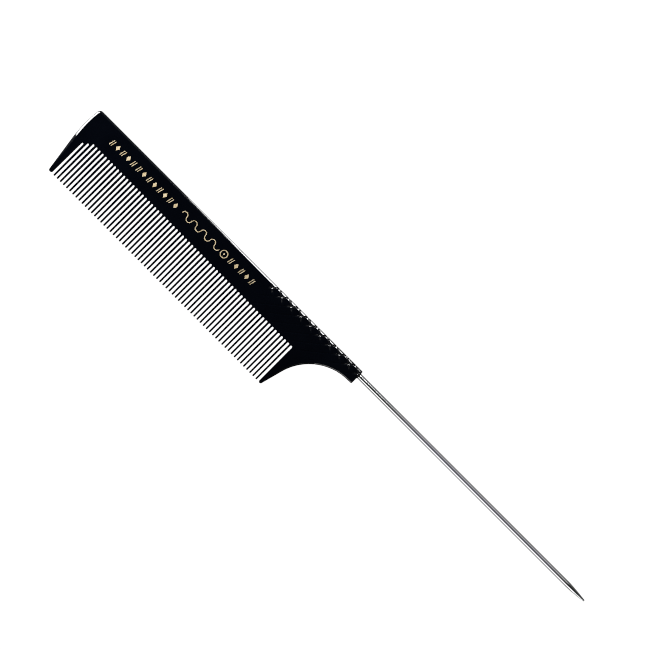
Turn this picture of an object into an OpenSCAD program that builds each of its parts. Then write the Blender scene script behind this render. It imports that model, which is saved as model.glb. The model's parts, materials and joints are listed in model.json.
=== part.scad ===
// Rat tail comb: hard rubber comb body with a steel pin for a tail.
// The comb lies flat. X runs from the free end of the head to the tip of the pin, Y from the
// tips of the teeth to the back edge, and Z is the thickness. The origin is the middle of the
// underside of the whole comb's box. Depths are measured from the back edge towards the teeth.

/* [Body] */
// Length from the free end of the head to the tip of the pin
overall_length = 216; // [200:1:240]
// Length of the hard rubber body, from the free end to the end face of the neck
body_length = 116.4; // [116:0.1:122]
// Thickness of the spine
body_thickness = 4.2; // [4:0.1:5]
// Radius of the rounding between the back edge and the faces
back_round_r = 0.9; // [0.6:0.1:1.9]
// Radius of the corner between the free end and the back edge
corner_r = 1.3; // [0.8:0.1:2]
// Radius of the gentle curve of the free end
end_curve_r = 45; // [40:1:60]
// Depth at which the free end reaches furthest
end_curve_depth = 6.2; // [5:0.1:7]
// Depth at which the free end's curve runs out into the straight edge of the guard tooth
end_curve_stop = 12.8; // [11:0.1:14]
// Radius of the rounding between the free end's edge and the faces
end_round_r = 0.8; // [0.6:0.1:1.8]

/* [Teeth] */
// Number of slots sawn into the head
slot_count = 67; // [40:1:67]
// Distance from the free end to the middle of the first slot
first_slot_x = 4; // [3.8:0.05:4.2]
// Distance from the free end to the middle of the last slot
last_slot_x = 95; // [94:0.1:95.2]
// Width of a slot at its root
slot_root_w = 0.72; // [0.6:0.01:0.8]
// Width of a slot at the tips of the teeth
slot_tip_w = 0.84; // [0.8:0.01:0.92]
// Depth of the slot roots at the free end
root_depth_start = 9.15; // [8.6:0.05:10]
// Depth of the slot roots at the neck
root_depth_end = 10; // [9.4:0.05:10.6]
// Number of slots at the free end that are cut less deep, so that the corner stays strong
corner_slots = 2; // [0:1:4]
// How much less deep each of those slots is than the next one
corner_step = 1.05; // [0:0.05:1.2]
// Depth of the tips of the teeth at the free end
tip_depth_start = 24.9; // [24:0.1:25.2]
// Depth of the tips of the teeth at the neck
tip_depth_end = 25.3; // [25.3:0.1:26]
// Thickness of a tooth at its tip
tip_thickness = 1.3; // [1:0.1:2]
// How far the corners of a tooth's tip are cut back
tip_chamfer = 0.15; // [0.05:0.05:0.2]
// Depth at which the faces begin to taper towards the tips
taper_start = 11.4; // [10.7:0.1:12]

/* [Neck] */
// Distance from the free end to the outer edge of the last tooth's tip
head_length = 96.4; // [96.2:0.1:96.8]
// Angle between the outer edge of the last tooth and the back edge
flank_angle = 75; // [70:1:80]
// Radius of the curve between the last tooth and the neck
cove_r = 17.1; // [15:0.1:17.4]
// Height of the neck, from the back edge to its lower edge
neck_height = 5.2; // [5:0.1:6]
// Radius of the neck's lower corner
neck_corner_r = 0.45; // [0.2:0.05:0.8]
// Radius of the rounding between the neck's end face and the faces
neck_round_r = 0.4; // [0.2:0.05:0.6]

/* [Grip] */
// Distance from the free end to the start of the grip grooves
grip_start = 76.9; // [74:0.1:90]
// Distance from the free end to the first groove crossing near the back edge
first_crossing_x = 77.75; // [74:0.05:90]
// Length of one grip lozenge along the comb
grip_pitch = 4.23; // [3.5:0.01:6]
// Angle between a groove and the back edge
groove_angle = 38.6; // [30:0.1:45]
// Width of a groove at the face
groove_w = 0.6; // [0.4:0.05:1]
// Depth of a groove below the face
groove_depth = 0.2; // [0.15:0.05:0.35]
// Depth at which the grip grooves stop, short of the slot roots
grip_depth = 9.2; // [8:0.1:9.2]
// Depth of the row of groove crossings nearest the back edge
crossing_depth = 1.52; // [1:0.01:3]

/* [Pin] */
// Diameter of the free tail
pin_d = 1.8; // [1.76:0.02:2]
// Depth of the pin's axis
pin_depth = 1.75; // [1.75:0.05:2.1]
// Length of the tapered point
point_length = 7; // [5:0.5:10]
// Radius of the rounded tip of the point
point_r = 0.3; // [0.15:0.05:0.4]
// Length of the shank inside the neck
shank_length = 25; // [20:1:35]
// Diameter of the thinner shank inside the neck
shank_d = 1.4; // [1.2:0.02:1.48]
// Number of ring grooves that key the shank into the cement
shank_grooves = 4; // [2:1:5]
// Width of each ring groove
shank_groove_w = 1.2; // [0.8:0.1:1.6]
// Depth of each ring groove
shank_groove_depth = 0.2; // [0.1:0.05:0.3]
// Diameter of the bore
bore_d = 2.2; // [2.12:0.02:2.3]
// Free depth of the bore beyond the end of the shank
bore_spare = 0.6; // [0.4:0.1:1]
// Radius of the cement bead on the end face
bead_r = 1.3; // [1.2:0.05:1.4]
// Height of the cement bead
bead_height = 0.25; // [0.1:0.05:0.4]

/* [Gold stamping] */
// Depth of the stamped recesses
stamp_depth = 0.12; // [0.08:0.01:0.15]
// Thickness of the foil at the bottom of the recesses
foil_thickness = 0.05; // [0.03:0.01:0.07]
// Depth of the middle line of the stamping
stamp_line_depth = 4.65; // [4.4:0.05:5.2]
// Height of the bars and lozenges
mark_height = 2.1; // [1.6:0.1:2.4]
// Width of a stamped line
mark_line_w = 0.34; // [0.3:0.02:0.4]
// Slant of the bars
mark_slant = 14; // [0:1:20]

/* [Hidden] */

// Steps along a quarter of a small rounding, and along the long curves of the outline
round_steps = 8;
curve_steps = 24;
// How far a cutting shape runs past the surface that it cuts
over = 1;
// Sideways run of a tip's chamfer for each millimetre along the tooth
chamfer_slope = 0.9;

middle_z = body_thickness / 2;
head_depth = tip_depth_end;
slot_pitch = (last_slot_x - first_slot_x) / (slot_count - 1);
bore_length = shank_length + bore_spare;
pin_r = pin_d / 2;
shank_r = shank_d / 2;
bore_r = bore_d / 2;

// Where the bars and lozenges stand: [first middle, number of marks], a mark every mark_pitch
mark_pitch = 2.3;
mark_rows = [[10.6, 5], [22.2, 8], [62.8, 5]];
// The wave: its start and its number of half turns
wave_start = 41.3;
wave_turns = 8;
wave_r = 1.02;
// The ring with a lozenge in it
ring_x = 59.7;
ring_r = 1.2;
lozenge_w = 1.5;
ring_lozenge_size = 0.5;

hard_rubber = [0.03, 0.03, 0.04];
steel = [0.75, 0.76, 0.78];
cement = [0.1, 0.1, 0.1];
gold = [0.83, 0.68, 0.36];

// Points along an arc, from one angle to the other
function arc(x, y, r, from, to, steps) =
    [for (i = [0:steps]) let (a = from + (to - from) * i / steps) [x + r * cos(a), y + r * sin(a)]];

// Middle, root depth and tip depth of slot i
function slot_x(i) = first_slot_x + i * slot_pitch;
function root_depth(i) =
    root_depth_start + (root_depth_end - root_depth_start) * i / (slot_count - 1)
    + corner_step * max(0, corner_slots - i);
function tip_depth(x) = tip_depth_start + (tip_depth_end - tip_depth_start) * x / head_length;

// Moves what is drawn from the free end of the back edge to the origin
module placed() {
    translate([-overall_length / 2, head_depth / 2, 0])
        children();
}

// Outline of the blank before the slots are sawn, with the free end on the left
module blank_outline() {
    end_stop_angle = asin((end_curve_stop - end_curve_depth) / end_curve_r);
    corner_angle = asin((end_curve_depth - corner_r) / (end_curve_r - corner_r));
    corner_x = end_curve_r - (end_curve_r - corner_r) * cos(corner_angle);
    end_stop_x = end_curve_r * (1 - cos(end_stop_angle));
    guard_run = tip_depth(0) - end_curve_stop;
    flank_top = neck_height + cove_r * (1 - cos(flank_angle));
    cove_x = head_length + (head_depth - flank_top) / tan(flank_angle) + cove_r * sin(flank_angle);
    polygon(concat(
        arc(corner_x, -corner_r, corner_r, 90, 180 - corner_angle, round_steps),
        arc(end_curve_r, -end_curve_depth, end_curve_r, 180 - corner_angle, 180, round_steps),
        arc(end_curve_r, -end_curve_depth, end_curve_r, 180, 180 + end_stop_angle, round_steps),
        [[end_stop_x + guard_run * tan(end_stop_angle), -tip_depth(0)]],
        [[head_length, -tip_depth(head_length)]],
        arc(cove_x, -neck_height - cove_r, cove_r, 90 + flank_angle, 90, curve_steps),
        arc(body_length - neck_corner_r, -neck_height + neck_corner_r, neck_corner_r,
            -90, 0, round_steps),
        [[body_length, 0]]
    ));
}

// One sawn slot: a round root, sides that open towards the tips, and a mouth that trims
// the corners of the tips on both sides
module slot_outline(i) {
    round_y = -root_depth(i) - slot_root_w / 2;
    mouth_y = -tip_depth(slot_x(i)) + tip_chamfer;
    mouth_w = slot_tip_w + 2 * (tip_chamfer + over) * chamfer_slope;
    translate([slot_x(i), 0]) {
        translate([0, round_y])
            circle(d = slot_root_w, $fn = 32);
        polygon([
            [-slot_root_w / 2, round_y],
            [slot_root_w / 2, round_y],
            [slot_tip_w / 2, mouth_y],
            [mouth_w / 2, mouth_y - tip_chamfer - over],
            [-mouth_w / 2, mouth_y - tip_chamfer - over],
            [-slot_tip_w / 2, mouth_y]
        ]);
    }
}

// Section across the comb: a rounded back, flat faces, then a taper to the tips of the teeth
module section_outline() {
    polygon(concat(
        arc(-back_round_r, back_round_r, back_round_r, -90, 0, round_steps),
        arc(-back_round_r, body_thickness - back_round_r, back_round_r, 0, 90, round_steps),
        [
            [-taper_start, body_thickness],
            [-head_depth - over, middle_z + tip_thickness / 2],
            [-head_depth - over, middle_z - tip_thickness / 2],
            [-taper_start, 0]
        ]
    ));
}

// Section along the comb: rounded at the free end and at the end face of the neck
module side_outline() {
    polygon(concat(
        arc(end_round_r, body_thickness - end_round_r, end_round_r, 90, 180, round_steps),
        arc(end_round_r, end_round_r, end_round_r, 180, 270, round_steps),
        arc(body_length - neck_round_r, neck_round_r, neck_round_r, -90, 0, round_steps),
        arc(body_length - neck_round_r, body_thickness - neck_round_r, neck_round_r,
            0, 90, round_steps)
    ));
}

// One straight V groove across the upper face, with its middle at the given x on the first
// row of crossings
module groove(x, angle) {
    length = 2 * grip_depth / sin(groove_angle);
    top_w = groove_w * (groove_depth + over) / groove_depth;
    translate([x, -crossing_depth, body_thickness])
        rotate([0, 0, angle])
            rotate([90, 0, 90])
                translate([0, 0, -length])
                    linear_extrude(2 * length)
                        polygon([[0, -groove_depth], [top_w / 2, over], [-top_w / 2, over]]);
}

// All grip grooves of the upper face
module grip_grooves() {
    reach = ceil(grip_depth / tan(groove_angle) / grip_pitch);
    count = ceil((body_length - grip_start) / grip_pitch);
    intersection() {
        union()
            for (i = [-reach:count + reach]) {
                groove(first_crossing_x + i * grip_pitch, groove_angle);
                groove(first_crossing_x + i * grip_pitch, -groove_angle);
            }
        translate([grip_start, -grip_depth, middle_z])
            cube([body_length - grip_start + over, grip_depth + over, body_thickness]);
    }
}

// A slanted bar of the stamping
module bar_mark() {
    shift = mark_height / 2 * tan(mark_slant);
    half = mark_height / 2;
    polygon([
        [-shift - mark_line_w / 2, -half],
        [-shift + mark_line_w / 2, -half],
        [shift + mark_line_w / 2, half],
        [shift - mark_line_w / 2, half]
    ]);
}

// A lozenge of the stamping
module lozenge_mark(w, h) {
    polygon([[w / 2, 0], [0, h / 2], [-w / 2, 0], [0, -h / 2]]);
}

// A ring of the stamping, a stamped line wide
module ring_mark(r) {
    difference() {
        circle(r = r + mark_line_w / 2, $fn = 48);
        circle(r = r - mark_line_w / 2, $fn = 48);
    }
}

// Two bars for an even mark and a lozenge for an odd one
module row_mark(i) {
    if (i % 2 == 0) {
        translate([-mark_line_w, 0])
            bar_mark();
        translate([mark_line_w, 0])
            bar_mark();
    } else {
        lozenge_mark(lozenge_w, mark_height);
    }
}

// Half rings that swing above and below the middle line in turn
module wave_mark() {
    for (i = [0:wave_turns - 1])
        translate([wave_start + wave_r * (2 * i + 1), 0])
            mirror([0, i % 2, 0])
                intersection() {
                    ring_mark(wave_r);
                    translate([-2 * wave_r, 0])
                        square([4 * wave_r, 2 * wave_r]);
                }
}

// The whole stamping
module stamping() {
    translate([0, -stamp_line_depth]) {
        for (row = mark_rows)
            for (i = [0:row[1] - 1])
                translate([row[0] + i * mark_pitch, 0])
                    row_mark(i);
        wave_mark();
        translate([ring_x, 0]) {
            ring_mark(ring_r);
            lozenge_mark(ring_lozenge_size * ring_r, ring_r);
        }
    }
}

// Turns an outline of [radius, distance from the end face] points about the pin's axis
module turned_on_pin_axis() {
    translate([body_length, -pin_depth, middle_z])
        rotate([0, 90, 0])
            rotate_extrude($fn = 64)
                children();
}

module comb_body() {
    color(hard_rubber)
        placed()
            difference() {
                intersection() {
                    linear_extrude(body_thickness)
                        difference() {
                            blank_outline();
                            for (i = [0:slot_count - 1])
                                slot_outline(i);
                        }
                    rotate([90, 0, 90])
                        linear_extrude(body_length)
                            section_outline();
                    translate([0, over, 0])
                        rotate([90, 0, 0])
                            linear_extrude(head_depth + 2 * over)
                                side_outline();
                }
                grip_grooves();
                translate([0, 0, body_thickness])
                    mirror([0, 0, 1])
                        grip_grooves();
                translate([body_length - bore_length, -pin_depth, middle_z])
                    rotate([0, 90, 0])
                        cylinder(r = bore_r, h = bore_length + over, $fn = 64);
                translate([0, 0, body_thickness - stamp_depth])
                    linear_extrude(stamp_depth + over)
                        stamping();
            }
}

// The four corners of ring groove i of the shank
function ring_groove(i) =
    let (
        middle = shank_length * ((i + 1) / (shank_grooves + 1) - 1),
        floor_r = shank_r - shank_groove_depth,
        low = middle - shank_groove_w / 2,
        high = middle + shank_groove_w / 2
    )
    [[shank_r, low], [floor_r, low], [floor_r, high], [shank_r, high]];

// Outline of the shank from its end to the end face of the neck
function shank_points() = concat(
    [[0, -shank_length], [shank_r, -shank_length]],
    [for (i = [0:shank_grooves - 1]) each ring_groove(i)],
    [[shank_r, 0]]
);

module tail_pin() {
    free_length = overall_length - body_length;
    taper_angle = atan((pin_r - point_r) / (point_length - point_r));
    color(steel)
        placed()
            turned_on_pin_axis()
                polygon(concat(
                    shank_points(),
                    [[pin_r, 0], [pin_r, free_length - point_length]],
                    arc(0, free_length - point_r, point_r, taper_angle, 90, round_steps)
                ));
}

module pin_cement() {
    color(cement)
        placed()
            turned_on_pin_axis()
                difference() {
                    polygon(concat(
                        [[0, -bore_length], [bore_r, -bore_length], [bore_r, 0], [bead_r, 0]],
                        [[pin_r, bead_height], [pin_r, 0]],
                        [[0, 0]]
                    ));
                    polygon(concat(shank_points(), [[0, 0]]));
                }
}

module gold_stamp() {
    color(gold)
        placed()
            translate([0, 0, body_thickness - stamp_depth])
                linear_extrude(foil_thickness)
                    stamping();
}

comb_body();
tail_pin();
pin_cement();
gold_stamp();
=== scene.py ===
"""Rat tail comb on a pale light table: hard rubber comb body, steel tail pin, cement, gold stamping.

The pieces are drawn in millimetres in the plane of the comb: x runs from the free end of the head, and
depth runs from the back edge towards the teeth. z is the height above the middle of the thickness.
place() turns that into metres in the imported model's frame.
"""

import json
import math

import bmesh
import bpy
import numpy as np
from mathutils import Matrix, Vector
from mathutils.geometry import delaunay_2d_cdt


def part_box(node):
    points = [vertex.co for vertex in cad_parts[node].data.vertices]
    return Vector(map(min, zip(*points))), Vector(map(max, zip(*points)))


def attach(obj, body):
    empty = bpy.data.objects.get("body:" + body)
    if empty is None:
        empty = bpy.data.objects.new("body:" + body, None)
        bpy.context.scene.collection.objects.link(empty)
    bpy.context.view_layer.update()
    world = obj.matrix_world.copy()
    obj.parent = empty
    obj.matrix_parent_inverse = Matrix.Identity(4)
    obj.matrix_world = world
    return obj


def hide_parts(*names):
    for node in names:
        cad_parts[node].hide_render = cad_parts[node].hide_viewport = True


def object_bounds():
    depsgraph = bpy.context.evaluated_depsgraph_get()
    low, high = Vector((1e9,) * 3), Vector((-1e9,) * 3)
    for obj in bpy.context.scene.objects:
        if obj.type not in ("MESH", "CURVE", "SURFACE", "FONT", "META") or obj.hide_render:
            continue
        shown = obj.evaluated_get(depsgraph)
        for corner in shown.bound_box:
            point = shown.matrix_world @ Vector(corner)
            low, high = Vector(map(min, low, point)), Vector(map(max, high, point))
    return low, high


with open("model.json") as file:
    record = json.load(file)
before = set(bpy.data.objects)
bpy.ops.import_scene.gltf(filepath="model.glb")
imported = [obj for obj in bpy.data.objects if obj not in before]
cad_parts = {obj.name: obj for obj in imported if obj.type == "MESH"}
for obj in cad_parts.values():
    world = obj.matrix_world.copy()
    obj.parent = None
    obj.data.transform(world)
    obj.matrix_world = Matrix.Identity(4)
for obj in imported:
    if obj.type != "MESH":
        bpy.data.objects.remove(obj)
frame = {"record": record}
cad_low, cad_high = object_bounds()

# ---------------------------------------------------------------- sizes, in millimetres
MM = 0.001
body_low, body_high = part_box("comb_body")
cement_low, cement_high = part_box("pin_cement")
pin_low, pin_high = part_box("tail_pin")
pin_mount = next(m for m in frame["record"]["mounts"] if m["name"] == "tail_pin_outside")

BODY_LENGTH = (body_high.x - body_low.x) / MM
HEAD_DEPTH = (body_high.y - body_low.y) / MM
HALF = (body_high.z - body_low.z) / 2 / MM
MIDDLE_Z = (body_high.z + body_low.z) / 2

# Outline of the head
CORNER_R = 1.3
END_CURVE_R = 45.0
END_CURVE_DEPTH = 6.2
END_CURVE_STOP = 12.8
CORNER_REACH = 4.0  # how far the corner's own stations go along x and depth
INNER_CORNER_R = 0.5  # the corner where the roundings of the back edge and the free end meet
HEAD_LENGTH = 96.4
FLANK_ANGLE = math.radians(75)
COVE_R = 17.1
NECK_HEIGHT = 5.2

# Teeth
SLOT_COUNT = 67
FIRST_SLOT_X = 4.0
LAST_SLOT_X = 95.0
SLOT_ROOT_W = 0.72
SLOT_TIP_W = 0.84
ROOT_DEPTH_START = 9.15
ROOT_DEPTH_END = 10.0
CORNER_SLOTS = 2
CORNER_STEP = 1.05
TIP_DEPTH_START = 24.9
TIP_HALF = 0.65
TAPER_START = 11.4
TAPER_END = HEAD_DEPTH + 1
TAPER_BLEND = 0.4
TIP_ROUND = 0.6
TIP_ROUND_REACH = 1.25  # length of the curve that thins the tips, as a share of TIP_ROUND
TIP_ROUND_STOP = 0.98  # where that curve is cut off, so that no tip ends in an edge

# Roundings between the outline and the faces: their width in the outline's plane and their height
BACK_ROUND = 0.9
END_ROUND = 0.8
GUARD_ROUND_W = 1.0
GUARD_ROUND_H = 1.0
GUARD_TIP_W = 0.3
TOOTH_ROUND_W = 0.05
ROOT_ROUND_W = 0.08
SLOT_ROUND_H = 0.1
COVE_ROUND_W = 0.6
COVE_ROUND_H = 0.6
NECK_END_ROUND = 0.4
END_BACK_INSET = 0.15
END_LOW_INSET = 0.45
END_FACE_INSET = 0.35

# Grip
GRIP_START = 76.9
GRIP_PITCH = 4.23
GROOVE_ANGLE = math.radians(38.6)
GROOVE_HALF_W = 0.3
GROOVE_DEPTH = 0.2
GROOVE_SHARPNESS = 6  # power of one groove's section, before both sets are added up
CROSSING_POWER = 1 / 3  # power of the sum, which keeps a crossing little deeper than a groove
GRIP_WEAR = 0.75
WEAR_START = 1.4
WEAR_END = 3.2
GRIP_DEPTH = 9.2
CROSSING_X = 77.75
CROSSING_DEPTH = 1.52
GRIP_FADE = 0.25
GRIP_EDGE_FADE = 0.08

# Pin, bore and cement
PIN_R = pin_mount["dims"]["r_mm"]
PIN_DEPTH = (body_high.y - pin_mount["pos_m"][1]) / MM
PIN_TIP = (pin_high.x - body_low.x) / MM
POINT_LENGTH = PIN_TIP - BODY_LENGTH - pin_mount["dims"]["length_mm"]
POINT_R = 0.3
POINT_BELLY = 0.08  # how far the point's taper swells, as a share of what it loses in radius
SHANK_LENGTH = BODY_LENGTH - (pin_low.x - body_low.x) / MM
SHANK_R = 0.7
SHANK_GROOVES = 4
SHANK_GROOVE_W = 1.2
SHANK_GROOVE_DEPTH = 0.2
BORE_LENGTH = BODY_LENGTH - (cement_low.x - body_low.x) / MM
BORE_R = 1.1
BEAD_HEIGHT = (cement_high.x - body_high.x) / MM
BEAD_R = 1.3
BEAD_RISE = 1.7  # power of the bead's hollow curve along the pin
BEAD_DRAW = 0.6  # power of the same curve across the pin
BEAD_WOBBLE = 0.04
BEAD_LOBES = 3
BEAD_TURN = 0.7

# Stamping
STAMP_DEPTH = 0.12
FOIL_THICKNESS = 0.05
FOIL_GAP = 0.008
FOIL_LIFT = 0.002
STAMP_LINE_DEPTH = 4.65
MARK_HEIGHT = 2.1
MARK_LINE_W = 0.34
MARK_SLANT = math.radians(14)
MARK_PITCH = 2.3
MARK_ROWS = ((10.6, 5), (22.2, 8), (62.8, 5))
LOZENGE_W = 1.5
LOZENGE_INSET = 1.6  # how far a lozenge's corners move in for an inset of its sides
WAVE_START = 41.3
WAVE_TURNS = 8
WAVE_R = 1.02
RING_X = 59.7
RING_R = 1.2

# Mesh density: stations along the outline
GRIP_STATION = 0.16
BACK_STATIONS = 37
CORNER_STATIONS = 40
CORNER_STEPS = 24
BELOW_CORNER_STATIONS = 10
FREE_END_STATIONS = 16
GUARD_SHARES = np.array([*np.linspace(0, 0.9, 12), 0.95, 1.0])
ROOT_STEPS = 8
TIP_STEPS = 6
FLANK_STATIONS = 16
COVE_STATION = 0.25
NECK_STATIONS = 7

# Mesh density: roundings, faces and turned pieces
ROUND_ROWS = 8
GRIP_ROW_SPLIT = 3
GUARD_RING = 0.03  # width of the ring of quads between the rounding and the face
GRIP_CELL_STEPS = 20
GRIP_CELLS = 15  # how many cells the lattice reaches each way before it is cut to the grip
TAPER_ROWS = (-1, -0.5, 0, 0.5, 1)  # places of the rows in the taper's blend
TAPER_ROW_START = 1.5
BEND_CLEARANCE = 0.2  # least distance from a slot's root to a station at the start of the taper
FACE_CLEARANCE = 0.07  # least distance from the face's boundary to a point inside the face
DISTANCE_BATCH = 200
NECK_END_STATIONS = 18
END_ROWS = 5
RING_STEPS = 48
WAVE_STEPS = 16
LATHE_STEPS = 64
PIN_STATIONS = 41
POINT_STATIONS = 15
NOSE_STATIONS = 9
BEAD_STATIONS = 9

# Mesh repair and shading
MERGE_DISTANCE = 1e-7  # in metres
TRIANGLE_EPSILON = 1e-6
SHARP_ANGLE = 35
TURNED_SHARP_ANGLE = 50

# Table, in metres
TABLE_HALF = 3.0
TABLE_GAP = 0.00002

# ---------------------------------------------------------------- small helpers


def place(x, depth, z):
    """Rows of points in metres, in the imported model's frame, from the comb's own millimetres."""
    return np.column_stack([
        body_low.x + np.asarray(x, float) * MM,
        body_high.y - np.asarray(depth, float) * MM,
        MIDDLE_Z + np.asarray(z, float) * MM,
    ])


def smooth_step(value, low, high):
    """0 up to low, 1 from high on, and a smooth rise between them."""
    t = np.clip((value - low) / (high - low), 0, 1)
    return t * t * (3 - 2 * t)


def mix(a, b, t):
    return a + (b - a) * t


def make_piece(name, points, faces, material, node, sharp_degrees=SHARP_ANGLE):
    """A closed mesh object from points in metres, riding on the only body in a CAD node's place."""
    mesh = bpy.data.meshes.new(name)
    mesh.from_pydata(points.tolist(), [], faces)
    work = bmesh.new()
    work.from_mesh(mesh)
    bmesh.ops.remove_doubles(work, verts=work.verts, dist=MERGE_DISTANCE)
    bmesh.ops.recalc_face_normals(work, faces=work.faces)
    work.to_mesh(mesh)
    work.free()
    mesh.polygons.foreach_set("use_smooth", [True] * len(mesh.polygons))
    mesh.set_sharp_from_angle(angle=math.radians(sharp_degrees))
    mesh.materials.append(material)
    piece = bpy.data.objects.new(name, mesh)
    bpy.context.scene.collection.objects.link(piece)
    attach(piece, "root")
    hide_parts(node)
    return piece


def inside_loop(points, loop):
    """Which points lie inside a closed loop, by counting the edges that a ray crosses."""
    x, y = points[:, 0], points[:, 1]
    inside = np.zeros(len(points), bool)
    for (ax, ay), (bx, by) in zip(loop, np.roll(loop, -1, axis=0)):
        if ay == by:
            continue
        crosses = (ay > y) != (by > y)
        inside ^= crosses & (x < (bx - ax) * (y - ay) / (by - ay) + ax)
    return inside


def inside_shape(points, loops):
    """Inside the first loop and outside its holes."""
    inside = np.zeros(len(points), bool)
    for loop in loops:
        inside ^= inside_loop(points, loop)
    return inside


def triangulate(loops, extra=()):
    """Triangles over what is inside the loops, by the even-odd rule. Returns points and faces,
    and the first points are those of the loops, in order, then the extra ones."""
    points = [Vector(p) for loop in loops for p in loop] + [Vector(p) for p in extra]
    edges, start = [], 0
    for loop in loops:
        count = len(loop)
        edges += [(start + i, start + (i + 1) % count) for i in range(count)]
        start += count
    corners, _, cells, origins, *_ = delaunay_2d_cdt(points, edges, [], 0, TRIANGLE_EPSILON)
    source = [min(origin) for origin in origins]
    flat = np.array([tuple(p) for p in corners])
    triangles = [cell for cell in cells if len(cell) == 3]
    middles = np.array([flat[list(t)].mean(axis=0) for t in triangles])
    keep = inside_shape(middles, loops)
    kept = [tuple(source[i] for i in t) for t, k in zip(triangles, keep) if k]
    return np.array([tuple(p) for p in points]), kept


# ---------------------------------------------------------------- outline of the comb


def slot_x(i):
    return mix(FIRST_SLOT_X, LAST_SLOT_X, i / (SLOT_COUNT - 1))


def root_depth(i):
    """Depth of the root of slot i. The first slots are cut less deep, because of the corner."""
    along = mix(ROOT_DEPTH_START, ROOT_DEPTH_END, i / (SLOT_COUNT - 1))
    return along + CORNER_STEP * max(0, CORNER_SLOTS - i)


def tip_depth(x):
    return mix(TIP_DEPTH_START, HEAD_DEPTH, np.asarray(x) / HEAD_LENGTH)


def slot_half_width(i, depth):
    """Half the width of slot i, which opens evenly from its root to the tips."""
    top = root_depth(i) + SLOT_ROOT_W / 2
    share = (depth - top) / (tip_depth(slot_x(i)) - top)
    return mix(SLOT_ROOT_W, SLOT_TIP_W, share) / 2


def half_thickness(x, depth):
    """Half the thickness of the blank: flat spine, taper to the tips, and rounded tips."""
    slope = (HALF - TIP_HALF) / (TAPER_END - TAPER_START)
    run = depth - TAPER_START
    blended = np.where(
        run < -TAPER_BLEND, 0,
        np.where(run > TAPER_BLEND, run, (run + TAPER_BLEND) ** 2 / (4 * TAPER_BLEND)),
    )
    past_start = depth - tip_depth(x) + TIP_ROUND
    rounded = np.clip(past_start / (TIP_ROUND_REACH * TIP_ROUND), 0, TIP_ROUND_STOP)
    return (HALF - slope * blended) * np.sqrt(1 - rounded ** 2)


class Outline:
    """Stations along the outline: outer points, the inner points where the rounding ends, and the
    rounding's height at each."""

    def __init__(self):
        self.outer, self.inner, self.height = [], [], []

    def add(self, outer, inner, height):
        outer, inner = np.asarray(outer, float), np.asarray(inner, float)
        height = np.broadcast_to(np.asarray(height, float), len(outer))
        if self.outer and np.allclose(self.outer[-1], outer[0], atol=1e-6):
            outer, inner, height = outer[1:], inner[1:], height[1:]
        self.outer += list(outer)
        self.inner += list(inner)
        self.height += list(height)

    def arrays(self):
        return np.array(self.outer), np.array(self.inner), np.array(self.height)


def resample(path, count):
    """count points evenly along a path."""
    path = np.asarray(path, float)
    steps = np.concatenate([[0], np.cumsum(np.linalg.norm(np.diff(path, axis=0), axis=1))])
    at = np.linspace(0, steps[-1], count)
    return np.column_stack([np.interp(at, steps, path[:, 0]), np.interp(at, steps, path[:, 1])])


def fan(centre, r, start, stop, steps):
    """Points on an arc. The angle turns from +x towards greater depth."""
    a = np.radians(np.linspace(start, stop, steps + 1))
    return np.column_stack([centre[0] + r * np.cos(a), centre[1] + r * np.sin(a)])


def add_back_edge(outline, stop_x):
    """The back edge from the end of the neck to the head's corner. Its first stations, along the grip,
    are closely spaced, and their number is returned."""
    grip_stations = round((stop_x - GRIP_START) / GRIP_STATION)
    grip = np.linspace(stop_x, GRIP_START - 2 * GRIP_FADE, grip_stations)
    plain = np.linspace(grip[-1], CORNER_REACH, BACK_STATIONS)[1:]
    for xs in (grip, plain):
        outline.add(
            np.column_stack([xs, np.zeros_like(xs)]),
            np.column_stack([xs, np.full_like(xs, BACK_ROUND)]),
            BACK_ROUND,
        )
    return len(grip)


def end_curve(depth, inset):
    """Points at the given depths on the free end's curve, moved in by inset."""
    depth, r = np.asarray(depth, float), END_CURVE_R - inset
    angle = np.arcsin((depth - END_CURVE_DEPTH) / r)
    return np.column_stack([END_CURVE_R - r * np.cos(angle), depth])


def add_corner(outline):
    """The small corner between the back edge and the free end."""
    angle = math.asin((END_CURVE_DEPTH - CORNER_R) / (END_CURVE_R - CORNER_R))
    centre_x = END_CURVE_R - (END_CURVE_R - CORNER_R) * math.cos(angle)
    arc = fan((centre_x, CORNER_R), CORNER_R, -90, -180 + math.degrees(angle), CORNER_STEPS)
    below = end_curve(np.linspace(arc[-1][1], CORNER_REACH, BELOW_CORNER_STATIONS), 0)
    outer = np.vstack([[[CORNER_REACH, 0]], arc, below[1:]])
    inner_start = BACK_ROUND + INNER_CORNER_R
    inner_centre = (float(end_curve([BACK_ROUND], END_ROUND)[0][0]) + INNER_CORNER_R, inner_start)
    inner_arc = fan(inner_centre, INNER_CORNER_R, -90, -180, CORNER_STEPS // 2)
    inner_below = end_curve(np.linspace(inner_start, CORNER_REACH, BELOW_CORNER_STATIONS), END_ROUND)
    inner = np.vstack([[[CORNER_REACH, BACK_ROUND]], inner_arc, inner_below[1:]])
    outline.add(
        resample(outer, CORNER_STATIONS),
        resample(inner, CORNER_STATIONS),
        np.linspace(BACK_ROUND, END_ROUND, CORNER_STATIONS),
    )


def add_free_end(outline):
    """The free end below its corner, down to the straight edge of the guard tooth."""
    depth = np.linspace(CORNER_REACH, END_CURVE_STOP, FREE_END_STATIONS)
    width = np.linspace(END_ROUND, GUARD_ROUND_W, FREE_END_STATIONS)
    angle = np.arcsin((depth - END_CURVE_DEPTH) / END_CURVE_R)
    outer = end_curve(depth, 0)
    inner = outer + width[:, None] * np.column_stack([np.cos(angle), -np.sin(angle)])
    outline.add(outer, inner, np.linspace(END_ROUND, GUARD_ROUND_H, FREE_END_STATIONS))


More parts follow.
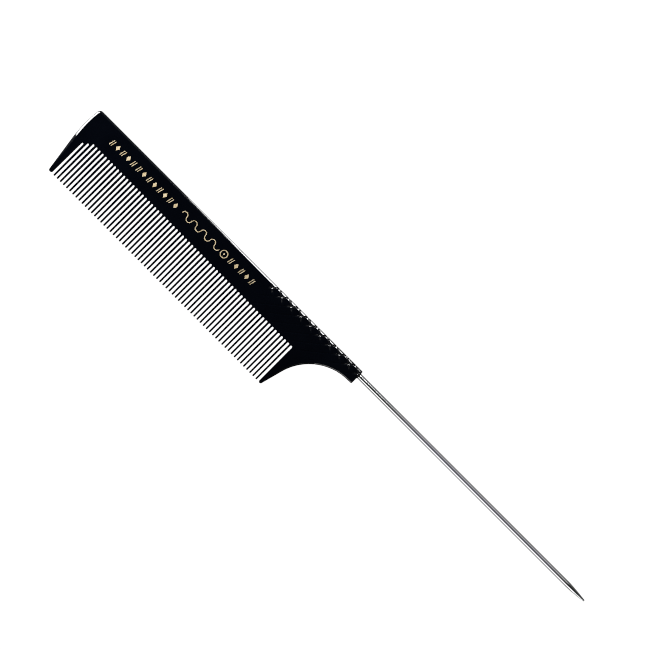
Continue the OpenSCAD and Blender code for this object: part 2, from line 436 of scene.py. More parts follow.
def add_guard_tooth(outline):
    """The straight edge and the tip of the guard tooth at the free end. Returns the depth of the tip's
    centre, where the side of the first slot starts."""
    slant = math.asin((END_CURVE_STOP - END_CURVE_DEPTH) / END_CURVE_R)
    start_x = END_CURVE_R * (1 - math.cos(slant))
    slot_edge = slot_x(0) - SLOT_TIP_W / 2
    edge_x = start_x + (TIP_DEPTH_START - END_CURVE_STOP) * math.tan(slant)
    tip_r = (slot_edge - edge_x) * math.cos(slant) / (1 + math.cos(slant) - math.sin(slant))
    centre = (slot_edge - tip_r, TIP_DEPTH_START - tip_r)
    tip_outer = fan(centre, tip_r, 180 - math.degrees(slant), 0, 2 * TIP_STEPS)
    stop = tip_outer[0]
    share = GUARD_SHARES
    outer = np.column_stack([mix(start_x, stop[0], share), mix(END_CURVE_STOP, stop[1], share)])
    width = mix(GUARD_ROUND_W, GUARD_TIP_W, share)
    inner = outer + width[:, None] * np.array([math.cos(slant), -math.sin(slant)])
    outline.add(outer, inner, mix(GUARD_ROUND_H, SLOT_ROUND_H, share))
    widths = np.linspace(GUARD_TIP_W, TOOTH_ROUND_W, len(tip_outer))
    direction = (tip_outer - centre) / tip_r
    outline.add(tip_outer, tip_outer - widths[:, None] * direction, SLOT_ROUND_H)
    return centre[1]


def tooth_levels(i, low_depth):
    """Depths of the stations along one side of slot i, from its root to the start of the tip."""
    top = root_depth(i) + SLOT_ROOT_W / 2
    tip_start = low_depth - TIP_ROUND / 2
    bend = TAPER_START + TAPER_BLEND * np.array([-1, 0, 1])
    bend = bend[bend > top + BEND_CLEARANCE]
    return np.concatenate([[top], bend, [tip_start, (tip_start + low_depth) / 2, low_depth]])


def add_slot_side(outline, i, side, low_depth):
    """One side of slot i. side is -1 for the left one, drawn upwards, and 1 for the right one."""
    depth = tooth_levels(i, low_depth)
    if side < 0:
        depth = depth[::-1]
    x = slot_x(i) + side * slot_half_width(i, depth)
    top = root_depth(i) + SLOT_ROOT_W / 2
    width = mix(ROOT_ROUND_W, TOOTH_ROUND_W, (depth - top) / (low_depth - top))
    outline.add(np.column_stack([x, depth]), np.column_stack([x + side * width, depth]), SLOT_ROUND_H)


def add_slot_root(outline, i):
    """The half round end of slot i, from its left side to its right one."""
    centre = (slot_x(i), root_depth(i) + SLOT_ROOT_W / 2)
    outline.add(
        fan(centre, SLOT_ROOT_W / 2, 180, 360, ROOT_STEPS),
        fan(centre, SLOT_ROOT_W / 2 + ROOT_ROUND_W, 180, 360, ROOT_STEPS),
        SLOT_ROUND_H,
    )


def add_tooth_tip(outline, i):
    """The round tip of the tooth between slot i and the next one."""
    left = slot_x(i) + SLOT_TIP_W / 2
    right = slot_x(i + 1) - SLOT_TIP_W / 2
    r = (right - left) / 2
    centre = ((left + right) / 2, tip_depth((left + right) / 2) - r)
    outline.add(
        fan(centre, r, 180, 0, TIP_STEPS),
        fan(centre, r - TOOTH_ROUND_W, 180, 0, TIP_STEPS),
        SLOT_ROUND_H,
    )


def tooth_tip_start(i):
    """Depth at which the round tip of the tooth to the right of slot i starts."""
    r = (slot_x(1) - slot_x(0) - SLOT_TIP_W) / 2
    return tip_depth((slot_x(i) + slot_x(i + 1)) / 2) - r


def add_end_tooth_and_cove(outline, stop_x):
    """The last tooth's tip, its slanted flank, the cove and the lower edge of the neck."""
    slot_edge = slot_x(SLOT_COUNT - 1) + SLOT_TIP_W / 2
    sin_a, cos_a = math.sin(FLANK_ANGLE), math.cos(FLANK_ANGLE)
    tip_r = (HEAD_LENGTH - slot_edge) * sin_a / (1 + sin_a - cos_a)
    centre = (slot_edge + tip_r, HEAD_DEPTH - tip_r)
    tip_outer = fan(centre, tip_r, 180, 90 - math.degrees(FLANK_ANGLE), 2 * TIP_STEPS)
    add_slot_side(outline, SLOT_COUNT - 1, 1, centre[1])
    direction = (tip_outer - centre) / tip_r
    outline.add(tip_outer, tip_outer - TOOTH_ROUND_W * direction, SLOT_ROUND_H)
    flank_top = NECK_HEIGHT + COVE_R * (1 - cos_a)
    flank_x = HEAD_LENGTH + (HEAD_DEPTH - flank_top) / math.tan(FLANK_ANGLE)
    cove = (flank_x + COVE_R * sin_a, NECK_HEIGHT + COVE_R)
    start = tip_outer[-1]
    share = np.linspace(0, 1, FLANK_STATIONS)
    outer = np.column_stack([mix(start[0], flank_x, share), mix(start[1], flank_top, share)])
    width = mix(TOOTH_ROUND_W, COVE_ROUND_W, share)
    inner = outer - width[:, None] * np.array([sin_a, cos_a])
    outline.add(outer, inner, mix(SLOT_ROUND_H, COVE_ROUND_H, share))
    turn = (-90 - math.degrees(FLANK_ANGLE), -90, round(COVE_R * FLANK_ANGLE / COVE_STATION))
    outline.add(fan(cove, COVE_R, *turn), fan(cove, COVE_R + COVE_ROUND_W, *turn), COVE_ROUND_H)
    xs = np.linspace(cove[0], stop_x, NECK_STATIONS)
    outline.add(
        np.column_stack([xs, np.full_like(xs, NECK_HEIGHT)]),
        np.column_stack([xs, np.full_like(xs, NECK_HEIGHT - COVE_ROUND_W)]),
        COVE_ROUND_H,
    )


def comb_outline(stop_x):
    """The whole outline, from the back edge at the neck round to the neck's lower edge, and the number
    of its first, closely spaced stations."""
    outline = Outline()
    fine = add_back_edge(outline, stop_x)
    add_corner(outline)
    add_free_end(outline)
    low_depth = add_guard_tooth(outline)
    for i in range(SLOT_COUNT):
        add_slot_side(outline, i, -1, low_depth)
        add_slot_root(outline, i)
        if i < SLOT_COUNT - 1:
            low_depth = tooth_tip_start(i)
            add_slot_side(outline, i, 1, low_depth)
            add_tooth_tip(outline, i)
    add_end_tooth_and_cove(outline, stop_x)
    return outline.arrays(), fine


# ---------------------------------------------------------------- grip and stamping


def lattice(x, depth):
    """Position counted in grooves of each of the two crossing sets."""
    along = (x - CROSSING_X) / GRIP_PITCH
    across = (depth - CROSSING_DEPTH) / (GRIP_PITCH * math.tan(GROOVE_ANGLE))
    return along + across, along - across


def grip_relief(x, depth):
    """How far the grip grooves lie below the face: soft hollows that are worn shallow away from the
    back edge. They fade out at the rim, at the start of the grip and along its lower limit."""
    spacing = GRIP_PITCH * math.sin(GROOVE_ANGLE)
    total = 0
    for count in lattice(x, depth):
        away = np.abs(count - np.round(count)) * spacing
        total = total + np.clip(1 - (away / GROOVE_HALF_W) ** 2, 0, 1) ** GROOVE_SHARPNESS
    worn = 1 - GRIP_WEAR * smooth_step(depth, WEAR_START, WEAR_END)
    relief = GROOVE_DEPTH * total ** CROSSING_POWER * worn
    edge = smooth_step(depth, 0, GRIP_EDGE_FADE)
    start = smooth_step(x, GRIP_START - GRIP_FADE, GRIP_START + GRIP_FADE)
    stop = 1 - smooth_step(depth, GRIP_DEPTH - GRIP_FADE, GRIP_DEPTH + GRIP_FADE)
    return relief * edge * start * stop


def bar(x, inset):
    """A slanted bar of the stamping round a point of its line."""
    half, w = MARK_HEIGHT / 2 - inset, MARK_LINE_W / 2 - inset
    shift = half * math.tan(MARK_SLANT)
    return [np.array([
        (x - shift - w, STAMP_LINE_DEPTH + half), (x - shift + w, STAMP_LINE_DEPTH + half),
        (x + shift + w, STAMP_LINE_DEPTH - half), (x + shift - w, STAMP_LINE_DEPTH - half),
    ])]


def lozenge(x, width, height, inset):
    """A lozenge of the stamping round a point of its line."""
    w, h = width / 2 - LOZENGE_INSET * inset, height / 2 - LOZENGE_INSET * inset
    return [np.array([
        (x + w, STAMP_LINE_DEPTH), (x, STAMP_LINE_DEPTH - h),
        (x - w, STAMP_LINE_DEPTH), (x, STAMP_LINE_DEPTH + h),
    ])]


def ring(x, inset):
    """A ring of the stamping round a point of its line: an outer loop and a hole."""
    centre = (x, STAMP_LINE_DEPTH)
    w = MARK_LINE_W / 2 - inset
    return [fan(centre, r, 0, 360, RING_STEPS)[:-1] for r in (RING_R + w, RING_R - w)]


def wave(inset):
    """A ribbon of half rings that swing above and below the middle line in turn."""
    w = MARK_LINE_W / 2 - inset
    sides = ([], [])
    for i in range(WAVE_TURNS):
        centre = (WAVE_START + WAVE_R * (2 * i + 1), STAMP_LINE_DEPTH)
        swing = -1 if i % 2 == 0 else 1
        for side, sign in zip(sides, (1, -1)):
            turn = fan(centre, WAVE_R - sign * swing * w, 180, 180 - swing * 180, WAVE_STEPS)
            side += list(turn[1 if i else 0:])
    return [np.array(sides[0] + sides[1][::-1])]


def stamped_shapes(inset=0.0):
    """Every mark of the stamping as a list of loops: an outer one, then its holes."""
    shapes = []
    for start, count in MARK_ROWS:
        for i in range(count):
            x = start + i * MARK_PITCH
            if i % 2 == 0:
                shapes += [bar(x - MARK_LINE_W, inset), bar(x + MARK_LINE_W, inset)]
            else:
                shapes.append(lozenge(x, LOZENGE_W, MARK_HEIGHT, inset))
    shapes.append(wave(inset))
    shapes.append(ring(RING_X, inset))
    shapes.append(lozenge(RING_X, RING_R / 2, RING_R, inset))
    return shapes


# ---------------------------------------------------------------- comb body


class Builder:
    """Collects points in the comb's millimetres, and faces over them."""

    def __init__(self):
        self.points, self.faces, self.count = [], [], 0

    def add(self, x, depth, z):
        """Adds points and returns their numbers."""
        rows = np.column_stack([np.ravel(x), np.ravel(depth), np.ravel(z)]).astype(float)
        self.points.append(rows)
        self.count += len(rows)
        return np.arange(self.count - len(rows), self.count)

    def face(self, *corners):
        """Adds a face unless its corners fall together."""
        once = list(dict.fromkeys(int(c) for c in corners))
        if len(once) > 2:
            self.faces.append(once)

    def strip(self, a, b):
        """Quads between two equally long rows of points."""
        for i in range(len(a) - 1):
            self.face(a[i], a[i + 1], b[i + 1], b[i])

    def all_points(self):
        return np.vstack(self.points)


def rounding_rows(builder, outer, inner, height, rows, side):
    """Rows of points over the rounding of one side, from the outline (row 0) to the face."""
    phi = np.linspace(0, math.pi / 2, rows + 1)
    share = (1 - np.cos(phi))[:, None]
    x = outer[:, 0] + (inner[:, 0] - outer[:, 0]) * share
    depth = outer[:, 1] + (inner[:, 1] - outer[:, 1]) * share
    outward = (outer - inner) / np.linalg.norm(outer - inner, axis=1)[:, None]
    relief = grip_relief(x, depth)
    z = half_thickness(x, depth) - height * (1 - np.sin(phi))[:, None] - relief * np.sin(phi)[:, None]
    x = x - relief * np.cos(phi)[:, None] * outward[:, 0]
    depth = depth - relief * np.cos(phi)[:, None] * outward[:, 1]
    numbers = builder.add(x, depth, side * np.maximum(z, 0))
    return numbers.reshape(rows + 1, len(outer))


def face_points(boundary, stop_x):
    """Points inside the face: a fine lattice over the grip and rows along the start of the taper. They
    keep clear of the face's boundary."""
    reach = np.arange(-GRIP_CELLS * GRIP_CELL_STEPS, GRIP_CELLS * GRIP_CELL_STEPS) / GRIP_CELL_STEPS
    u, v = np.meshgrid(reach, reach)
    along, across = (u + v) / 2, (u - v) / 2
    grip = np.column_stack([
        (CROSSING_X + along * GRIP_PITCH).ravel(),
        (CROSSING_DEPTH + across * GRIP_PITCH * math.tan(GROOVE_ANGLE)).ravel(),
    ])
    wanted = (grip[:, 0] > GRIP_START - 2 * GRIP_FADE) & (grip[:, 0] < stop_x)
    wanted &= (grip[:, 1] > BACK_ROUND) & (grip[:, 1] < GRIP_DEPTH + 2 * GRIP_FADE)
    grip = grip[wanted]
    solid_x = np.concatenate([
        np.arange(TAPER_ROW_START, FIRST_SLOT_X - 1), np.arange(LAST_SLOT_X + 1, BODY_LENGTH)])
    rows = np.vstack([
        np.column_stack([solid_x, np.full(len(solid_x), TAPER_START + share * TAPER_BLEND)])
        for share in TAPER_ROWS
    ])
    cells = np.vstack([grip, rows])
    cells = cells[inside_loop(cells, boundary)]
    clear = np.ones(len(cells), bool)
    for start in range(0, len(boundary), DISTANCE_BATCH):
        part = boundary[start:start + DISTANCE_BATCH]
        away = np.linalg.norm(cells[:, None, :] - part[None, :, :], axis=2).min(axis=1)
        clear &= away > FACE_CLEARANCE
    return cells[clear]


def face_height(x, depth):
    """Height of the comb's face, with the grip grooves."""
    return half_thickness(x, depth) - grip_relief(x, depth)


def comb_rounding(builder, outer, inner, height, fine, side):
    """The rounding of one side of the comb. Returns its rows of points along the grip, which are
    closer, and those along the rest of the outline."""
    grip_rows = rounding_rows(
        builder, outer[:fine], inner[:fine], height[:fine], ROUND_ROWS * GRIP_ROW_SPLIT, side)
    plain_rows = rounding_rows(
        builder, outer[fine:], inner[fine:], height[fine:], ROUND_ROWS, side)
    for rows in (grip_rows, plain_rows):
        for a, b in zip(rows, rows[1:]):
            builder.strip(a, b)
    for k in range(ROUND_ROWS):
        low, high = k * GRIP_ROW_SPLIT, (k + 1) * GRIP_ROW_SPLIT
        between = [grip_rows[r][-1] for r in range(high, low - 1, -1)]
        builder.face(plain_rows[k][0], plain_rows[k + 1][0], *between)
    return grip_rows, plain_rows


def comb_side(builder, stations, fine, stop_x, side, shapes):
    """One face of the comb with its rounding. Returns its outline row and its row at the neck's end."""
    outer, inner, height = stations
    grip_rows, plain_rows = comb_rounding(builder, outer, inner, height, fine, side)
    inward = (inner - outer) / np.linalg.norm(inner - outer, axis=1)[:, None]
    guard = inner + GUARD_RING * inward
    guard_row = builder.add(guard[:, 0], guard[:, 1], side * face_height(guard[:, 0], guard[:, 1]))
    builder.strip(np.concatenate([grip_rows[-1], plain_rows[-1]]), guard_row)

    end_depth = np.linspace(guard[-1][1], guard[0][1], NECK_END_STATIONS)[1:-1]
    end_line = np.column_stack([np.full_like(end_depth, stop_x), end_depth])
    boundary = np.vstack([guard, end_line])
    loops = [boundary] + [loop for shape in shapes for loop in shape]
    flat, faces = triangulate(loops, face_points(boundary, stop_x))
    within = flat[len(guard):]
    within_row = builder.add(within[:, 0], within[:, 1], side * face_height(within[:, 0], within[:, 1]))
    numbers = np.concatenate([guard_row, within_row])
    builder.faces += [[int(numbers[i]) for i in f] for f in faces]
    end_numbers = numbers[len(guard):len(boundary)][::-1]

    start = len(boundary)
    for shape in shapes:
        stop = start + sum(len(loop) for loop in shape)
        sink_shape(builder, shape, numbers[start:stop], side)
        start = stop

    outline_row = np.concatenate([grip_rows[0], plain_rows[0]])
    end_row = np.concatenate([
        grip_rows[:, 0], [guard_row[0]], end_numbers, [guard_row[-1]], plain_rows[::-1, -1]])
    return outline_row, end_row


def sink_shape(builder, shape, rim, side):
    """The walls and floor of one stamped recess."""
    flat, faces = triangulate(shape)
    floor = builder.add(flat[:, 0], flat[:, 1], side * np.full(len(flat), HALF - STAMP_DEPTH))
    builder.faces += [[int(floor[i]) for i in f] for f in faces]
    start = 0
    for loop in shape:
        count = len(loop)
        order = [*range(start, start + count), start]
        builder.strip(rim[order], floor[order])
        start += count


def neck_end(builder, loop, stop_x):
    """The rounding of the neck's end, the end face and the blind bore, from a closed loop of points."""
    points = builder.all_points()[loop]
    depth, z = points[:, 1], points[:, 2]
    last = loop
    for psi in np.linspace(0, math.pi / 2, END_ROWS + 1)[1:]:
        drawn_in = 1 - math.cos(psi)
        x = stop_x + (BODY_LENGTH - stop_x) * math.sin(psi)
        shrunk_depth = depth + mix(END_BACK_INSET, -END_LOW_INSET, depth / NECK_HEIGHT) * drawn_in
        shrunk_z = z * (1 - END_FACE_INSET / HALF * drawn_in)
        row = builder.add(np.full_like(depth, x), shrunk_depth, shrunk_z)
        close_strip(builder, last, row)
        last = row
    angle = np.arctan2(shrunk_z, shrunk_depth - PIN_DEPTH)
    bore_depth, bore_z = PIN_DEPTH + BORE_R * np.cos(angle), BORE_R * np.sin(angle)
    for x in (BODY_LENGTH, BODY_LENGTH - BORE_LENGTH):
        row = builder.add(np.full_like(angle, x), bore_depth, bore_z)
        close_strip(builder, last, row)
        last = row
    builder.faces.append([int(i) for i in last])


def close_strip(builder, a, b):
    """Quads between two equally long closed rows of points."""
    builder.strip(np.append(a, a[0]), np.append(b, b[0]))


def build_comb_body(material):
    """Both faces and their roundings, the outline between them, and the neck's end with its bore."""
    stop_x = BODY_LENGTH - NECK_END_ROUND
    stations, fine = comb_outline(stop_x)
    builder = Builder()
    top_outline, top_end = comb_side(builder, stations, fine, stop_x, 1, stamped_shapes())
    low_outline, low_end = comb_side(builder, stations, fine, stop_x, -1, [])
    builder.strip(top_outline, low_outline)
    neck_end(builder, np.concatenate([top_end, low_end[::-1][:-1]]), stop_x)
    return make_piece(
        "comb_body_rubber", place(*builder.all_points().T), builder.faces,
        material, "comb_body")


# ---------------------------------------------------------------- pin, cement and foil


def lathe(profile, wobble=None):
    """Points and faces of a profile turned on the pin's axis. The profile gives pairs of a distance
    from the neck's end face and a radius."""
    builder = Builder()
    angle = np.linspace(0, 2 * math.pi, LATHE_STEPS, endpoint=False)
    rows = []
    for along, r in profile:
        if r == 0:
            rows.append(np.repeat(builder.add([BODY_LENGTH + along], [PIN_DEPTH], [0]), LATHE_STEPS))
            continue
        ring_r = r * (wobble(angle, r) if wobble else 1)
        rows.append(builder.add(
            np.full_like(angle, BODY_LENGTH + along),
            PIN_DEPTH + ring_r * np.cos(angle),
            ring_r * np.sin(angle),
        ))
    for a, b in zip(rows, rows[1:]):
        close_strip(builder, a, b)
    return place(*builder.all_points().T), builder.faces


def shank_profile():
    """The shank from its end to the neck's end face, with the ring grooves that key it in."""
    profile = [(-SHANK_LENGTH, SHANK_R)]
    for i in range(SHANK_GROOVES):
        middle = SHANK_LENGTH * ((i + 1) / (SHANK_GROOVES + 1) - 1)
        low, high = middle - SHANK_GROOVE_W / 2, middle + SHANK_GROOVE_W / 2
        floor_r = SHANK_R - SHANK_GROOVE_DEPTH
        profile += [(low, SHANK_R), (low, floor_r), (high, floor_r), (high, SHANK_R)]
    return profile + [(0, SHANK_R)]


def point_profile(free_length):
    """The ground point: a slightly bellied taper that ends in a small round nose."""
    start = free_length - POINT_LENGTH
    nose = free_length - POINT_R
    taper = np.linspace(0, 1, POINT_STATIONS)
    belly = (PIN_R - POINT_R) * POINT_BELLY * np.sin(math.pi * taper)
    profile = [(mix(start, nose, t), mix(PIN_R, POINT_R, t) + b) for t, b in zip(taper, belly)]
    nose_angle = np.linspace(0, math.pi / 2, NOSE_STATIONS)[1:]
    profile += [(nose + POINT_R * math.sin(a), POINT_R * math.cos(a)) for a in nose_angle[:-1]]
    return profile + [(free_length, 0)]


def build_tail_pin(material):
    """The steel pin: grooved shank, straight tail and point."""
    free_length = PIN_TIP - BODY_LENGTH
    straight = np.linspace(0, free_length - POINT_LENGTH, PIN_STATIONS)[:-1]
    profile = [(-SHANK_LENGTH, 0), *shank_profile(), *[(a, PIN_R) for a in straight]]
    points, faces = lathe(profile + point_profile(free_length))
    return make_piece(
        "tail_pin_steel", points, faces, material, "tail_pin", TURNED_SHARP_ANGLE)


def build_cement(material):
    """The sleeve round the shank and the bead, which is drawn up the pin in a hollow curve."""
    def wobble(angle, r):
        """How far the bead's rim draws in from a true circle. Inside the bore nothing does."""
        size = BEAD_WOBBLE * max(0, r - BORE_R) / (BEAD_R - BORE_R)
        return 1 - size * (0.5 + 0.5 * np.sin(BEAD_LOBES * angle + BEAD_TURN) * np.cos(angle))

    curve = np.linspace(0, 1, BEAD_STATIONS)
    bead = [(BEAD_HEIGHT * t ** BEAD_RISE, mix(BEAD_R, PIN_R, t ** BEAD_DRAW)) for t in curve]
    profile = [(-BORE_LENGTH, 0), (-BORE_LENGTH, BORE_R), (0, BORE_R), *bead]
    profile += [(0, PIN_R), *shank_profile()[::-1], (-SHANK_LENGTH, 0)]
    points, faces = lathe(profile, wobble=wobble)
    return make_piece(
        "pin_cement_bead", points, faces, material, "pin_cement", TURNED_SHARP_ANGLE)


def build_foil(material):
    """One thin plate of foil on the floor of each stamped recess."""
    builder = Builder()
    floor_z = HALF - STAMP_DEPTH
    for shape in stamped_shapes(FOIL_GAP):
        flat, faces = triangulate(shape)
        low, high = (
            builder.add(flat[:, 0], flat[:, 1], np.full(len(flat), floor_z + lift))
            for lift in (FOIL_LIFT, FOIL_THICKNESS)
        )
        for level in (low, high):
            builder.faces += [[int(level[i]) for i in f] for f in faces]
        start = 0
        for loop in shape:
            order = [*range(start, start + len(loop)), start]
            builder.strip(low[order], high[order])
            start += len(loop)
    return make_piece(
        "gold_stamp_foil", place(*builder.all_points().T), builder.faces,
        material, "gold_stamp")


# ---------------------------------------------------------------- materials


def set_stops(ramp_node, stops):
    """Fills a colour ramp with (position, colour or grey) pairs."""
    elements = ramp_node.color_ramp.elements
    while len(elements) < len(stops):
        elements.new(0.5)
    for element, (position, value) in zip(elements, stops):
        element.position = position
        element.color = (value, value, value, 1) if isinstance(value, (int, float)) else (*value, 1)


class Nodes:
    """A material's node tree with short calls for the nodes that are used here."""

    def __init__(self, name):
        self.material = bpy.data.materials.new(name)
        self.material.use_nodes = True
        self.tree = self.material.node_tree
        self.tree.nodes.clear()
        self.shader = self.tree.nodes.new("ShaderNodeBsdfPrincipled")
        output = self.tree.nodes.new("ShaderNodeOutputMaterial")
        self.link(self.shader.outputs["BSDF"], output.inputs["Surface"])
        self.place = self.tree.nodes.new("ShaderNodeTexCoord").outputs["Object"]

    def link(self, source, target):
        self.tree.links.new(source, target)

    def set(self, **values):
        """Sets sockets of the shader. An underscore in a keyword stands for a space in its name."""
        for name, value in values.items():
            self.shader.inputs[name.replace("_", " ")].default_value = value

    def noise(self, scale, detail=3.0, roughness=0.5, stretch=(1, 1, 1)):
        """A noise of the given number of features to the metre, stretched along the axes."""
        mapping = self.tree.nodes.new("ShaderNodeMapping")
        mapping.inputs["Scale"].default_value = [scale / s for s in stretch]
        self.link(self.place, mapping.inputs["Vector"])
        node = self.tree.nodes.new("ShaderNodeTexNoise")
        node.inputs["Scale"].default_value = 1.0
        node.inputs["Detail"].default_value = detail
        node.inputs["Roughness"].default_value = roughness
        self.link(mapping.outputs["Vector"], node.inputs["Vector"])
        return node.outputs["Fac"]

    def ramp(self, source, stops):
        """A colour ramp over a source. stops are (position, colour or grey)."""
        node = self.tree.nodes.new("ShaderNodeValToRGB")
        set_stops(node, stops)
        self.link(source, node.inputs["Fac"])
        return node.outputs["Color"]

    def math(self, operation, a, b):
        """One operation on two sockets or numbers."""
        node = self.tree.nodes.new("ShaderNodeMath")
        node.operation = operation
        for value, target in ((a, node.inputs[0]), (b, node.inputs[1])):
            if isinstance(value, (int, float)):
                target.default_value = value
            else:
                self.link(value, target)
        return node.outputs[0]

    def mix(self, share, a, b):
        """A colour between a and b, each a socket or a colour, by a share from 0 to 1."""
        node = self.tree.nodes.new("ShaderNodeMix")
        node.data_type = "RGBA"
        for value, target in ((share, node.inputs[0]), (a, node.inputs[6]), (b, node.inputs[7])):
            if isinstance(value, tuple):
                target.default_value = (*value, 1)
            elif isinstance(value, (int, float)):
                target.default_value = value
            else:
                self.link(value, target)
        return node.outputs[2]

    def bump(self, heights):
        """Adds bumps from (height, distance in metres) pairs, one after the other."""
        last = None
        for height, distance in heights:
            node = self.tree.nodes.new("ShaderNodeBump")
            node.inputs["Strength"].default_value = 1.0
            node.inputs["Distance"].default_value = distance
            self.link(height, node.inputs["Height"])
            if last is not None:
                self.link(last, node.inputs["Normal"])
            last = node.outputs["Normal"]
        self.link(last, self.shader.inputs["Normal"])


def rubber_material():
    """Polished black hard rubber: faint blue-black clouding, buffing lines along the comb and fine
    scratches across it."""
    n = Nodes("polished_hard_rubber")
    clouds = n.noise(120, 4)
    lines = n.noise(9000, 3, 0.6, stretch=(40, 1, 1))
    wave = n.noise(260, 2, 0.4, stretch=(3, 1, 1))
    scratches = n.noise(3500, 2, 0.5, stretch=(1, 12, 1))
    n.link(n.ramp(clouds, [(0.3, (0.0002, 0.0004, 0.0011)), (0.7, (0.0004, 0.0007, 0.0016))]),
           n.shader.inputs["Base Color"])
    rough = n.math("ADD", n.ramp(lines, [(0.3, 0.08), (0.75, 0.12)]),
                   n.ramp(scratches, [(0.6, 0.0), (0.8, 0.05)]))
    n.link(rough, n.shader.inputs["Roughness"])
    n.set(IOR=1.6)
    n.bump([(wave, 0.00001), (lines, 0.0000012), (scratches, 0.000001)])
    return n.material


def steel_material():
    """Drawn and polished steel wire: bright, with fine lines along its length and small stains."""
    n = Nodes("polished_steel")
    lines = n.noise(16000, 3, 0.6, stretch=(120, 1, 1))
    stains = n.noise(400, 3, 0.5, stretch=(5, 1, 1))
    n.link(n.ramp(stains, [(0.35, (0.62, 0.63, 0.65)), (0.7, (0.74, 0.745, 0.75))]),
           n.shader.inputs["Base Color"])
    rough = n.math("ADD", n.ramp(lines, [(0.3, 0.03), (0.75, 0.07)]),
                   n.ramp(stains, [(0.4, 0.0), (0.7, 0.04)]))
    n.link(rough, n.shader.inputs["Roughness"])
    n.set(Metallic=1.0)
    n.bump([(lines, 0.0000015)])
    return n.material


def cement_material():
    """Dark set cement: glossy skin with a slight grain."""
    n = Nodes("dark_cement")
    grain = n.noise(5000, 3)
    n.link(n.ramp(grain, [(0.3, (0.012, 0.011, 0.010)), (0.7, (0.028, 0.025, 0.022))]),
           n.shader.inputs["Base Color"])
    n.link(n.ramp(grain, [(0.3, 0.2), (0.7, 0.38)]), n.shader.inputs["Roughness"])
    n.bump([(grain, 0.00001)])
    return n.material


def foil_material():
    """Stamped gold foil: warm, grainy, and worn through to the rubber in small spots."""
    n = Nodes("gold_foil")
    grain = n.noise(7000, 3, 0.6)
    tone = n.noise(1200, 2)
    worn = n.ramp(n.noise(4200, 3, 0.65), [(0.3, 1.0), (0.36, 0.0)])
    gold = n.ramp(tone, [(0.3, (0.40, 0.31, 0.17)), (0.7, (0.52, 0.45, 0.32))])
    n.link(n.mix(worn, gold, (0.02, 0.016, 0.012)), n.shader.inputs["Base Color"])
    n.link(n.math("SUBTRACT", 1.0, worn), n.shader.inputs["Metallic"])
    n.link(n.ramp(grain, [(0.3, 0.5), (0.7, 0.7)]), n.shader.inputs["Roughness"])
    n.bump([(grain, 0.00002)])
    return n.material


def table_material():
    """A pale light table. The camera sees it glow, but the comb's gloss doesn't mirror the glow."""
    n = Nodes("pale_table")
    n.link(n.ramp(n.noise(30, 3), [(0.3, 0.03), (0.7, 0.04)]), n.shader.inputs["Base Color"])
    n.set(Roughness=0.8, Emission_Color=(1, 1, 1, 1))
    seen = n.tree.nodes.new("ShaderNodeLightPath").outputs["Is Camera Ray"]
    n.link(seen, n.shader.inputs["Emission Strength"])
    return n.material


# ---------------------------------------------------------------- stage, lights and camera


def build_table():
    """The floor, just under the comb's lower face."""
    z = cad_low.z - TABLE_GAP
    corners = [(x * TABLE_HALF, y * TABLE_HALF, z) for x, y in ((-1, -1), (1, -1), (1, 1), (-1, 1))]
    mesh = bpy.data.meshes.new("light_table")
    mesh.from_pydata(corners, [], [(0, 1, 2, 3)])
    mesh.materials.append(table_material())
    floor = bpy.data.objects.new("light_table", mesh)
    bpy.context.scene.collection.objects.link(floor)


def build_world():
    """A soft pale studio that is dark straight overhead, where the camera hangs."""
    world = bpy.data.worlds.new("studio")
    bpy.context.scene.world = world
    world.use_nodes = True
    tree = world.node_tree
    background = tree.nodes["Background"]
    place_node = tree.nodes.new("ShaderNodeTexCoord")
    split = tree.nodes.new("ShaderNodeSeparateXYZ")
    ramp = tree.nodes.new("ShaderNodeValToRGB")
    set_stops(ramp, [(0.0, 0.12), (0.1, 0.12), (0.2, 0.1), (0.7, 0.1), (0.92, 0.01)])
    tree.links.new(place_node.outputs["Generated"], split.inputs[0])
    tree.links.new(split.outputs["Z"], ramp.inputs["Fac"])
    tree.links.new(ramp.outputs["Color"], background.inputs["Color"])
    background.inputs["Strength"].default_value = 1.0


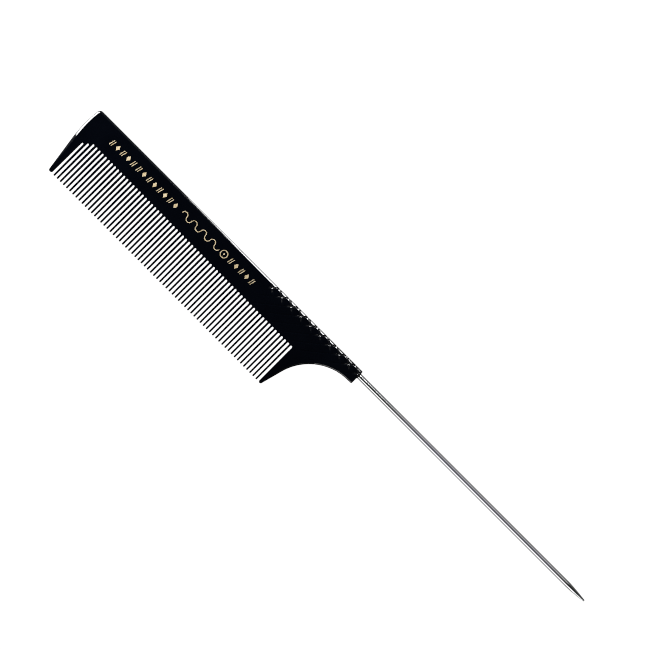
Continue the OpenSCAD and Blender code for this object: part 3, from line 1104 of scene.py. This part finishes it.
def add_softbox(name, centre, heading, tilt, size, radiance, roll=0.0):
    """A soft light at a point (x, depth, z) in the comb's millimetres. It shines along a heading, in
    degrees round from +X, tilted below level. size is its width and its height, and roll leans it."""
    light = bpy.data.lights.new(name, "AREA")
    light.shape = "RECTANGLE"
    light.size, light.size_y = size[0] * MM, size[1] * MM
    light.energy = radiance * math.pi * light.size * light.size_y
    lamp = bpy.data.objects.new(name, light)
    bpy.context.scene.collection.objects.link(lamp)
    lamp.location = place([centre[0]], [centre[1]], [centre[2]])[0]
    turns = ((heading - 90, "Z"), (90 - tilt, "X"), (roll, "Z"))
    first, second, third = (Matrix.Rotation(math.radians(angle), 3, axis) for angle, axis in turns)
    lamp.rotation_euler = (first @ second @ third).to_euler()
    lamp.visible_camera = False


def build_lights():
    """Softboxes behind the comb, in front of it and beyond its free end, and two strips of light on the
    table. The bright lines on the back edge, the free end and the pin are their reflections."""
    add_softbox("back_softbox", (82, -300, 165), -90, 20, (50, 330), 30, roll=4)
    add_softbox("back_reflector", (50, -60, -2), -90, -90, (22, 90), 25)
    add_softbox("tail_softbox", (182, -281, 271), -90, 44, (128, 140), 1.15)
    add_softbox("front_softbox", (214, 300, 170), 90, 30, (192, 290), 2.0)
    add_softbox("end_softbox", (-250, -75, 160), 0, 20, (250, 300), 24)
    add_softbox("end_reflector", (-60, 4, -2), 0, -90, (17, 100), 25)


def build_camera():
    """Straight above the comb, whose length runs down to the right of the picture."""
    view_x, view_depth, view_z = 97.69, -1.98, 1.5
    view_width = 203.1
    lens = 450
    data = bpy.data.cameras.new("camera")
    data.lens = lens
    data.clip_start, data.clip_end = 0.01, 20
    camera = bpy.data.objects.new("camera", data)
    bpy.context.scene.collection.objects.link(camera)
    distance = view_width * lens / data.sensor_width
    camera.location = place([view_x], [view_depth], [view_z + distance])[0]
    camera.rotation_euler = (0, 0, math.radians(45))
    bpy.context.scene.camera = camera


build_camera()
build_table()
build_world()
build_lights()
bpy.context.scene.view_settings.view_transform = "Standard"
bpy.context.scene.cycles.filter_width = 1.0
build_comb_body(rubber_material())
build_tail_pin(steel_material())
build_cement(cement_material())
build_foil(foil_material())
